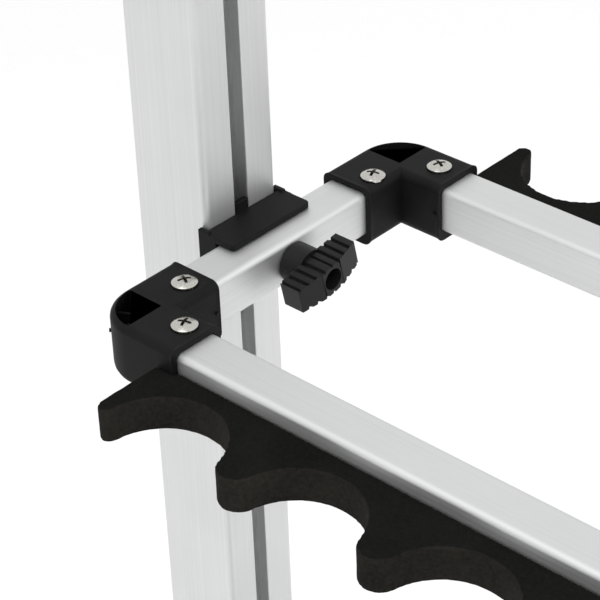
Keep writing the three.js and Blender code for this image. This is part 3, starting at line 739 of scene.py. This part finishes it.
def bracket_body():
    body = block("bracket", (POST_FACE, -BRACKET_HALF, -LIP_OUT), (TUBE_FACE, BRACKET_HALF, LIP_OUT))
    for z in (LIP_IN, -LIP_IN, 8.5, -8.5):
        slice_at(body, (0, 0, z), (0, 0, 1))
    for y in (20.3, -20.3, 3.5, -3.5):
        slice_at(body, (0, y, 0), (0, 1, 0))
    slice_at(body, (-14.2, 0, 0), (1, 0, 0))
    pull(body, (9.9, 0, 0), lambda face: looks(face, "X") and spot(face).z > LIP_IN)
    pull(body, (9.3, 0, 0), lambda face: looks(face, "X") and spot(face).z < -LIP_IN)
    pull(body, (-3, 0, 0), lambda face: looks(face, "-X") and abs(spot(face).y) > 20.3)
    pull(body, (-2.4, 0, 0),
        lambda face: looks(face, "-X") and abs(spot(face).y) < 3.5 and abs(spot(face).z) > 8.5)
    pull(body, (0, 0, 0.9),
        lambda face: looks(face, "Z") and abs(spot(face).y) > 20.3 and spot(face).x < -14.2)
    pull(body, (0, 0, 4.5),
        lambda face: looks(face, "Z") and abs(spot(face).y) < 3.5 and spot(face).x < POST_FACE)
    return body


bracket = bracket_body()
print("bracket reaches", round(max(v.co.x for v in bracket.data.vertices) * 1000, 2), "mm over the tube")

# %% Rounding the bracket
def soften_bracket(body):
    corners = round_edges(body, 2.6, 5,
        lambda edge: runs(edge, "Z") and spot(edge).x > -2 and abs(spot(edge).y) > 22)
    rims = round_edges(body, 0.95, 4,
        lambda edge: spot(edge).x > -10 and abs(spot(edge).z) > 10 and edge.is_manifold
                       and not runs(edge, "Z") and edge.calc_face_angle(0) > 1.2)
    hollows = round_edges(body, 0.45, 3, lambda edge: runs(edge, "Y") and abs(spot(edge).x + 14.2) < 0.05
                          and abs(spot(edge).z - LIP_OUT) < 0.05 and abs(spot(edge).y) > 20)
    horns = round_edges(body, 0.35, 3,
        lambda edge: spot(edge).z > LIP_OUT + 0.85 and edge.calc_face_angle(0) > 1.2)
    carve(body, bar("bolt_hole", 3.3, (-30, 0, 0), (5, 0, 0), sides=32))
    return corners, rims, hollows, horns


bracket_edges = soften_bracket(bracket)
print("bracket corners, rims, hollows and horns rounded:", bracket_edges)

# %% Brackets in their places
def clamp_place(ring, end):
    """The centre of a cross tube, with X pointing from the post into the ring."""
    low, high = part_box(f"{ring}_tube_{end}")
    turn = 0 if end == "left" else math.pi
    return Matrix.Translation((low + high) / 2) @ Matrix.Rotation(turn, 4, "Z")


for ring in RINGS:
    for end in ("left", "right"):
        piece = copied(bracket, f"{ring}_clamp_bracket_{end}", clamp_place(ring, end))
        finish_piece(piece, NYLON, "black_plastic", ring + "_frame", f"{ring}_bracket_{end}")
bpy.data.objects.remove(bracket)
print("upper left clamp centre:", [round(v * 1000, 2) for v in clamp_place("upper", "left").translation])

# %% [markdown]
# ## Wing knobs
# A wing knob is a flattened hexagonal wing on a round hub. Ribs cross its two long sides for grip,
# and its front is swept back towards both ends, with a deep round hole in the middle. The wing is
# a block whose middle is thickened, and the ribs are made by slicing it across and sinking every
# second line. Two slanted slices then sweep the front.

# %% The ribbed wing
WING_BACK, WING_FRONT, WING_HALF, WING_END, WING_MID = 9.3, 21.5, 16.75, 5.8, 6.7
RIBS, RIB_DEEP, WING_FLAT, WING_SWEEP = 8, 1.25, 5.5, 2.4


def ribbed_wing():
    wing = block("wing_knob", (WING_BACK, -WING_HALF, -WING_END), (WING_FRONT, WING_HALF, WING_END))
    slice_at(wing, (0, 0, 0), (0, 1, 0))
    for up in (1, -1):
        slide(wing, (0, 0, up * (WING_MID - WING_END)),
            lambda corner: abs(spot(corner).y) < 0.01 and spot(corner).z * up > 0)
    pitch = 2 * WING_HALF / RIBS
    for up in (1, -1):
        for rib in range(RIBS):
            crest = up * (WING_HALF - (rib + 0.3) * pitch)
            valley = up * (WING_HALF - (rib + 0.8) * pitch)
            slice_at(wing, (0, crest, 0), (0, 1, 0))
            slice_at(wing, (0, valley, 0), (0, 1, 0))
    for up in (1, -1):
        for rib in range(RIBS):
            valley = up * (WING_HALF - (rib + 0.8) * pitch)
            slide(wing, (0, 0, -up * RIB_DEEP),
                lambda corner: abs(spot(corner).y - valley) < 0.01 and spot(corner).z * up > 0)
    return wing


wing = ribbed_wing()
print("wing corners:", len(wing.data.vertices))

# %% Sweep, hub and hole
def knob_from(wing):
    slope = math.atan2(WING_SWEEP, WING_HALF - WING_FLAT)
    for side in (1, -1):
        slice_at(wing, (WING_FRONT, side * WING_FLAT, 0), (math.cos(slope), side * math.sin(slope), 0),
            drop=True)
    soft = wing.modifiers.new("moulded edges", "BEVEL")
    soft.width, soft.segments, soft.limit_method, soft.angle_limit = mm(0.3), 2, "ANGLE", math.radians(24)
    only(wing)
    bpy.ops.object.modifier_apply(modifier=soft.name)
    hub = bar("hub", 8.3, (0.3, 0, 0), (WING_BACK + 1, 0, 0), sides=96)
    round_edges(hub, 0.6, 3, lambda edge: spot(edge).x < 0.31 and not runs(edge, "X"))
    weld(wing, hub)
    carve(wing, bar("hole", 4.5, (WING_FRONT - 9, 0, 0), (WING_FRONT + 1, 0, 0), sides=64))
    rim = round_edges(wing, 0.4, 3,
        lambda edge: spot(edge).x > WING_FRONT - 1 and abs(spot(edge).yz.length - 4.5) < 0.05
                      and edge.calc_face_angle(0) > 1)
    carve(wing, bar("bore", 3.3, (-1, 0, 0), (WING_FRONT, 0, 0), sides=32))
    return rim


hole_rim = knob_from(wing)
print("hole rim edges:", hole_rim, "knob faces:", len(wing.data.polygons))

# %% Knobs in their places
WING_TILT = Matrix.Rotation(math.radians(12), 4, "X")
for ring in RINGS:
    for end in ("left", "right"):
        place = clamp_place(ring, end) @ Matrix.Translation(mm((10, 0, 0))) @ WING_TILT
        piece = copied(wing, f"{ring}_wing_knob_{end}", place)
        finish_piece(piece, KNOB_PLASTIC, "knob_plastic", f"{ring}_knob_{end}", f"{ring}_knob_{end}",
            angle=28)
bpy.data.objects.remove(wing)

# %% [markdown]
# ## Clamping bolts and nuts
# Each knob turns a 6 mm bolt, which runs through the tube, the bracket and the post's slot into a
# square nut in the channel. The thread is made by pulling one end of a short bar again and again,
# narrower and wider by turns, at a 1 mm pitch. The nut is a block with cut corners and a bore.

# %% Threaded bolt and square nut
BOLT_R, THREAD_DEEP, PITCH = 3.0, 0.35, 1.0


def threaded_bolt(start, end):
    bolt = bar("threaded_bolt", BOLT_R - THREAD_DEEP, (start, 0, 0), (start + PITCH / 2, 0, 0), sides=32)
    reached, wide = start + PITCH / 2, False
    while reached < end - 0.01:
        step = min(PITCH / 2, end - reached)
        reached += step
        size = BOLT_R / (BOLT_R - THREAD_DEEP) if not wide else (BOLT_R - THREAD_DEEP) / BOLT_R
        pick(bolt, "FACE", lambda face: looks(face, "X"))
        bpy.ops.mesh.extrude_region_move(TRANSFORM_OT_translate={"value": (mm(step), 0, 0)})
        bpy.ops.transform.resize(value=(1, size, size), center_override=(0, 0, 0))
        close_edit()
        wide = not wide
    return bolt


def square_nut():
    nut = block("square_nut", (-4.3, -7, -7), (-0.3, 7, 7))
    round_edges(nut, 1.2, 3, lambda edge: runs(edge, "X"))
    round_edges(nut, 0.4, 2, lambda edge: not runs(edge, "X"))
    return carve(nut, bar("bore", 3.3, (-6, 0, 0), (1, 0, 0), sides=32))


bolt = threaded_bolt(-34.2, 11.3)
nut = square_nut()
for ring in RINGS:
    for end in ("left", "right"):
        place = clamp_place(ring, end)
        thread = copied(bolt, f"{ring}_threaded_bolt_{end}", place @ Matrix.Translation(mm((10, 0, 0))))
        finish_piece(thread, STEEL, "plated_steel", f"{ring}_knob_{end}", f"{ring}_bolt_{end}", angle=20)
        held = copied(nut, f"{ring}_square_nut_{end}", place @ Matrix.Translation(mm((-18.4, 0, 0))))
        finish_piece(held, STEEL, "plated_steel", f"{ring}_nut_{end}", f"{ring}_nut_{end}")
bpy.data.objects.remove(bolt)
bpy.data.objects.remove(nut)

# %% [markdown]
# ## Foam strips
# The strips are firm 15 mm foam, cut with a hole saw and a knife, so they keep their shape by
# themselves and need no cloth simulation. A block is notched with ten cylinders, and round lobes
# are welded between the notches. A voxel remesh then turns the strip into an even skin of small
# faces, a smoothing pass takes the sharpness off the cut edges, and a fine displacement gives the
# slight waviness of cut foam.

# %% Soften a cut strip
def soft_skin(strip, voxel, wave):
    only(strip)
    remesh = strip.modifiers.new("even skin", "REMESH")
    remesh.mode, remesh.voxel_size, remesh.use_smooth_shade = "VOXEL", mm(voxel), True
    smooth = strip.modifiers.new("cut edges", "SMOOTH")
    smooth.factor, smooth.iterations = 0.5, 4
    pores = bpy.data.textures.new("cut_waviness", "CLOUDS")
    pores.noise_scale, pores.noise_depth = mm(5), 2
    uneven = strip.modifiers.new("waviness", "DISPLACE")
    uneven.texture, uneven.strength, uneven.mid_level, uneven.texture_coords = pores, mm(wave), 0.5, "LOCAL"
    for step in (remesh, smooth, uneven):
        bpy.ops.object.modifier_apply(modifier=step.name)
    return len(strip.data.polygons)


# %% The notched strip
NOTCHES, NOTCH_PITCH, NOTCH_R, NOTCH_OUT = 10, 64.5, 25.2, 33.8
LOBE_R, LOBE_OUT, LOBE_START, TIP_R, TIP_OUT, FOAM_THICK = 7.856, 26.54, 28.27, 3.3, 31.1, 15


def notched_strip(wider, shift):
    """Built against the tube's outer face at y = 0, with its top at zero."""
    first = shift - (NOTCHES - 1) * NOTCH_PITCH / 2
    half = NOTCHES * NOTCH_PITCH / 2 - 0.3
    strip = block("notched_strip", (shift - half, -LOBE_START - wider, -FOAM_THICK),
        (shift + half, -0.3, 0))
    middles = [first + (k + 0.5) * NOTCH_PITCH for k in range(NOTCHES - 1)]
    lobes = [bar("lobe", LOBE_R, (x, -LOBE_OUT - wider, -FOAM_THICK),
        (x, -LOBE_OUT - wider, 0)) for x in middles]
    for side in (1, -1):
        x, y = shift + side * (half - TIP_R), -TIP_OUT - wider
        inner, outer = sorted((shift + side * (half - 2.6 * TIP_R), shift + side * half))
        lobes.append(block("end_lobe", (inner, y, -FOAM_THICK), (outer, y + 8, 0)))
        lobes.append(bar("end_tip", TIP_R, (x, y, -FOAM_THICK), (x, y, 0)))
    weld(strip, *lobes)
    cutters = [bar("notch", NOTCH_R, (first + k * NOTCH_PITCH, -NOTCH_OUT - wider, -FOAM_THICK - 1),
                   (first + k * NOTCH_PITCH, -NOTCH_OUT - wider, 1), sides=128) for k in range(NOTCHES)]
    return carve(strip, *cutters, *reliefs())


def reliefs():
    """Cutters for the steps that clear a connector at each end of the ring."""
    return [block("relief", (min(side * 312.85, side * 340), -2.8, -30),
        (max(side * 312.85, side * 340), 10, 10))
            for side in (1, -1)]


# %% Notched strips on both sides
def strip_place(ring, side):
    """The middle of a long tube's outer face, at the foam's top."""
    low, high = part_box(ring + ("_tube_front" if side < 0 else "_tube_back"))
    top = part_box(ring + "_foam_front")[1].z
    turn = 0 if side < 0 else math.pi
    return Matrix.Translation(((low.x + high.x) / 2, low.y if side < 0 else high.y,
        top)) @ Matrix.Rotation(turn, 4, "Z")


for name, side, wider, shift in (("front", -1, 0, 0), ("back", 1, 5, -3.8)):
    strip = notched_strip(wider, shift)
    strip_faces = soft_skin(strip, 0.95, 0.22)
    piece = copied(strip, "notched_foam_" + name, strip_place("upper", side))
    bpy.data.objects.remove(strip)
    finish_piece(piece, FOAM, "foam", "upper_frame", "upper_foam_" + name, angle=60, weighted=False)
    print(name, "strip faces:", strip_faces, "width", round(piece.dimensions.y * 1000, 1), "mm")

# %% [markdown]
# The lower frame carries plain shelves of the same foam. Each has a shallow round dimple below
# every notch, where a rod's butt rests. A dimple is the cap of a large sphere.

# %% The dimpled shelves
SHELF_OUT, DIMPLE_R, DIMPLE_DEEP = 38, 16, 3.5
BOWL_R = (DIMPLE_R ** 2 + DIMPLE_DEEP ** 2) / (2 * DIMPLE_DEEP)


def dimpled_shelf(node):
    low, high = corners_of(node)
    half = (high.x - low.x) / 2
    shelf = block("dimpled_shelf", (-half, -SHELF_OUT, -FOAM_THICK), (half, -0.3, 0))
    round_edges(shelf, 6, 6, lambda edge: runs(edge, "Z") and spot(edge).y < -20)
    carve(shelf, *reliefs())
    for k in range(NOTCHES):
        x = (k - (NOTCHES - 1) / 2) * NOTCH_PITCH
        bpy.ops.object.select_all(action="DESELECT")
        bpy.ops.mesh.primitive_uv_sphere_add(segments=64, ring_count=64, radius=mm(BOWL_R),
            location=mm((x, -SHELF_OUT / 2 - 0.3, BOWL_R - DIMPLE_DEEP)))
        carve(shelf, settle(bpy.context.object))
    return shelf


shelf = dimpled_shelf("lower_foam_front")
shelf_faces = soft_skin(shelf, 1.0, 0.22)
for name, side in (("front", -1), ("back", 1)):
    node = "lower_foam_" + name
    piece = copied(shelf, "dimpled_foam_" + name, strip_place("lower", side))
    finish_piece(piece, FOAM, "foam", "lower_frame", node, angle=60, weighted=False)
bpy.data.objects.remove(shelf)
print("shelf faces:", shelf_faces)

# %% [markdown]
# ## Post caps, sockets and feet
# The base is nylon too. A thin cap closes each post. A socket holds the post's foot, lets the
# cross foot through below it, and has a collar for the long rail. Each cross foot ends in a cap
# with two pads. All three are blocks with generous moulded rounding, carved with the same rounded
# bores as the connectors.

# %% Post caps
def post_cap():
    cap = block("post_cap", (-21, -21, 0), (21, 21, 5))
    round_edges(cap, 3.75, 6, lambda edge: runs(edge, "Z"))
    round_edges(cap, 1.6, 4, lambda edge: spot(edge).z > 4.99)
    pick(cap, "FACE", lambda face: looks(face, "Z") and face.calc_area() > 1e-4)
    bpy.ops.mesh.inset(thickness=mm(4))
    bpy.ops.transform.translate(value=(0, 0, mm(-0.4)))
    close_edit()
    plug = block("plug", (-18.1, -15.6, -12), (5.7, 15.6, 1))
    round_edges(plug, 1, 3, lambda edge: spot(edge).z < -11.9 or runs(edge, "Z"))
    return weld(cap, plug)


cap = post_cap()
for end in ("left", "right"):
    low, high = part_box("post_cap_" + end)
    turn = 0 if end == "left" else math.pi
    place = Matrix.Translation(((low.x + high.x) / 2, 0, high.z - mm(5))) @ Matrix.Rotation(turn, 4, "Z")
    finish_piece(copied(cap, "moulded_post_cap_" + end, place), NYLON, "black_plastic", "stand",
        "post_cap_" + end)
bpy.data.objects.remove(cap)
print("post caps at", round(high.z * 1000, 1), "mm")

# %% Base sockets
def base_socket():
    body = block("base_socket", (-24.8, -24.8, 2), (24.8, 24.8, 85))
    round_edges(body, 4, 6, lambda edge: runs(edge, "Z"))
    round_edges(body, 1.4, 3, lambda edge: spot(edge).z > 84.9 or spot(edge).z < 2.1)
    collar = block("collar", (0, -13.8, 1.2), (46.8, 13.8, 28.8))
    round_edges(collar, 3, 5, lambda edge: runs(edge, "X"))
    round_edges(collar, 0.8, 3, lambda edge: spot(edge).x > 46.7)
    weld(body, collar)
    rail_bore = rounded_bore((14.5, -10.3, 4.7), (48, 10.3, 25.3), "X")
    foot_bore = rounded_bore((-10.3, -26, 4.7), (10.3, 26, 25.3), "Y")
    post_bore = rounded_bore((-20.3, -20.3, 30), (20.3, 20.3, 120), "Z", radius=2.75)
    return carve(body, rail_bore, foot_bore, post_bore)


socket = base_socket()
for end in ("left", "right"):
    low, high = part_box("post_" + end)
    turn = 0 if end == "left" else math.pi
    place = Matrix.Translation(((low.x + high.x) / 2, 0, 0)) @ Matrix.Rotation(turn, 4, "Z")
    finish_piece(copied(socket, "base_socket_" + end, place), NYLON, "black_plastic", "stand",
        "socket_" + end)
bpy.data.objects.remove(socket)
print("sockets hold the posts at", round((low.x + high.x) * 500, 2), "mm")

# %% Foot caps
def foot_cap():
    body = block("foot_cap", (-12.8, -2.5, 0), (12.8, 34, 27.8))
    round_edges(body, 3.2, 5, lambda edge: runs(edge, "Y") and spot(edge).z > 20)
    round_edges(body, 1.6, 4, lambda edge: spot(edge).y < -2.4)
    round_edges(body, 0.6, 2, lambda edge: spot(edge).y > 33.9)
    bore = rounded_bore((-10.3, -0.3, 4.7), (10.3, 36, 25.3), "Y")
    arch = block("arch", (-7.8, 6, -1), (7.8, 26, 1.2))
    return carve(body, bore, arch)


cap = foot_cap()
for end in ("left", "right"):
    for letter, side in (("a", -1), ("b", 1)):
        node = f"foot_cap_{end}_{letter}"
        low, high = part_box(node)
        tube_end = (low.y + mm(2.5)) if side < 0 else (high.y - mm(2.5))
        turn = 0 if side < 0 else math.pi
        place = Matrix.Translation(((low.x + high.x) / 2, tube_end, 0)) @ Matrix.Rotation(turn, 4, "Z")
        finish_piece(copied(cap, f"moulded_foot_cap_{end}_{letter}", place), NYLON, "black_plastic",
            "stand", node)
bpy.data.objects.remove(cap)
print("foot caps reach y", round(high.y * 1000, 1), "mm")

# %% [markdown]
# ## Any node still showing
# Every imported node should now have a piece that stands for it. A node that has none is listed.

# %% Look for leftovers
left_over = [name for name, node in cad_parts.items() if not node.hide_render]
print("packed nodes still shown:", left_over)

# %% [markdown]
# ## Floor, light and camera
# The rack stands on a seamless white sweep. The light is a white room with one large soft panel
# above and in front, and a smaller one on the right that brightens the floor which the slotted
# faces mirror. Neither throws a hard shadow. The
# camera is a long lens, close to the left end of the upper ring and above it.

# %% White floor
def seamless_floor():
    finish, tree, shader, place = new_finish("matt_white_paper", Roughness=0.9)
    fibre = add_node(tree, "TexNoise", {"Vector": place.outputs["Object"], "Scale": 300.0, "Detail": 3.0})
    tone = two_tones(tree, fibre.outputs["Fac"], (0, "#fafafa"), (1, "#ffffff"))
    tree.links.new(tone.outputs["Color"], shader.inputs["Base Color"])
    floor = block("white_floor", (-6000, -6000, -10), (6000, 6000, -0.5))
    round_edges(floor, 4, 2, lambda edge: spot(edge).z > -1)
    floor.data.materials.append(finish)
    return floor


floor = seamless_floor()
print("floor is", round(floor.dimensions.x, 1), "m wide")

# %% Soft studio light
def soft_panel(name, place, target, size, power):
    light = bpy.data.lights.new(name, "AREA")
    light.shape, light.size, light.energy = "SQUARE", size, power
    panel = bpy.data.objects.new(name, light)
    bpy.context.scene.collection.objects.link(panel)
    panel.location = place
    panel.rotation_euler = (Vector(target) - Vector(place)).to_track_quat("-Z", "Y").to_euler()
    return panel


room = bpy.data.worlds.new("white_room")
room.use_nodes = True
room.node_tree.nodes["Background"].inputs["Color"].default_value = (1, 1, 1, 1)
room.node_tree.nodes["Background"].inputs["Strength"].default_value = 0.92
bpy.context.scene.world = room
soft_panel("overhead_panel", (0, -1.1, 2.3), (0, 0, 0.3), 1.8, 12)
soft_panel("right_hand_panel", (1.0, 0.1, 1.7), (0.9, 0.1, 0), 1.0, 9)
bpy.context.scene.view_settings.view_transform = "Standard"

# %% Camera
RIGHT = Vector((0.7376, 0.6745, -0.0320))
UP = Vector((-0.3532, 0.4257, 0.8331))
BACK = Vector((0.5755, -0.6032, 0.5523))
lens = bpy.data.cameras.new("long_lens")
lens.lens, lens.sensor_width, lens.clip_start = 132.66, 36, 0.05
camera = bpy.data.objects.new("camera", lens)
bpy.context.scene.collection.objects.link(camera)
turned = Matrix((RIGHT, UP, BACK)).transposed().to_4x4()
camera.matrix_world = Matrix.Translation((0.1751, -0.5321, 1.0771)) @ turned
bpy.context.scene.camera = camera
print("camera stands", round((camera.location - Vector((-0.339, 0, 0.62))).length, 3),
    "m from the near end")
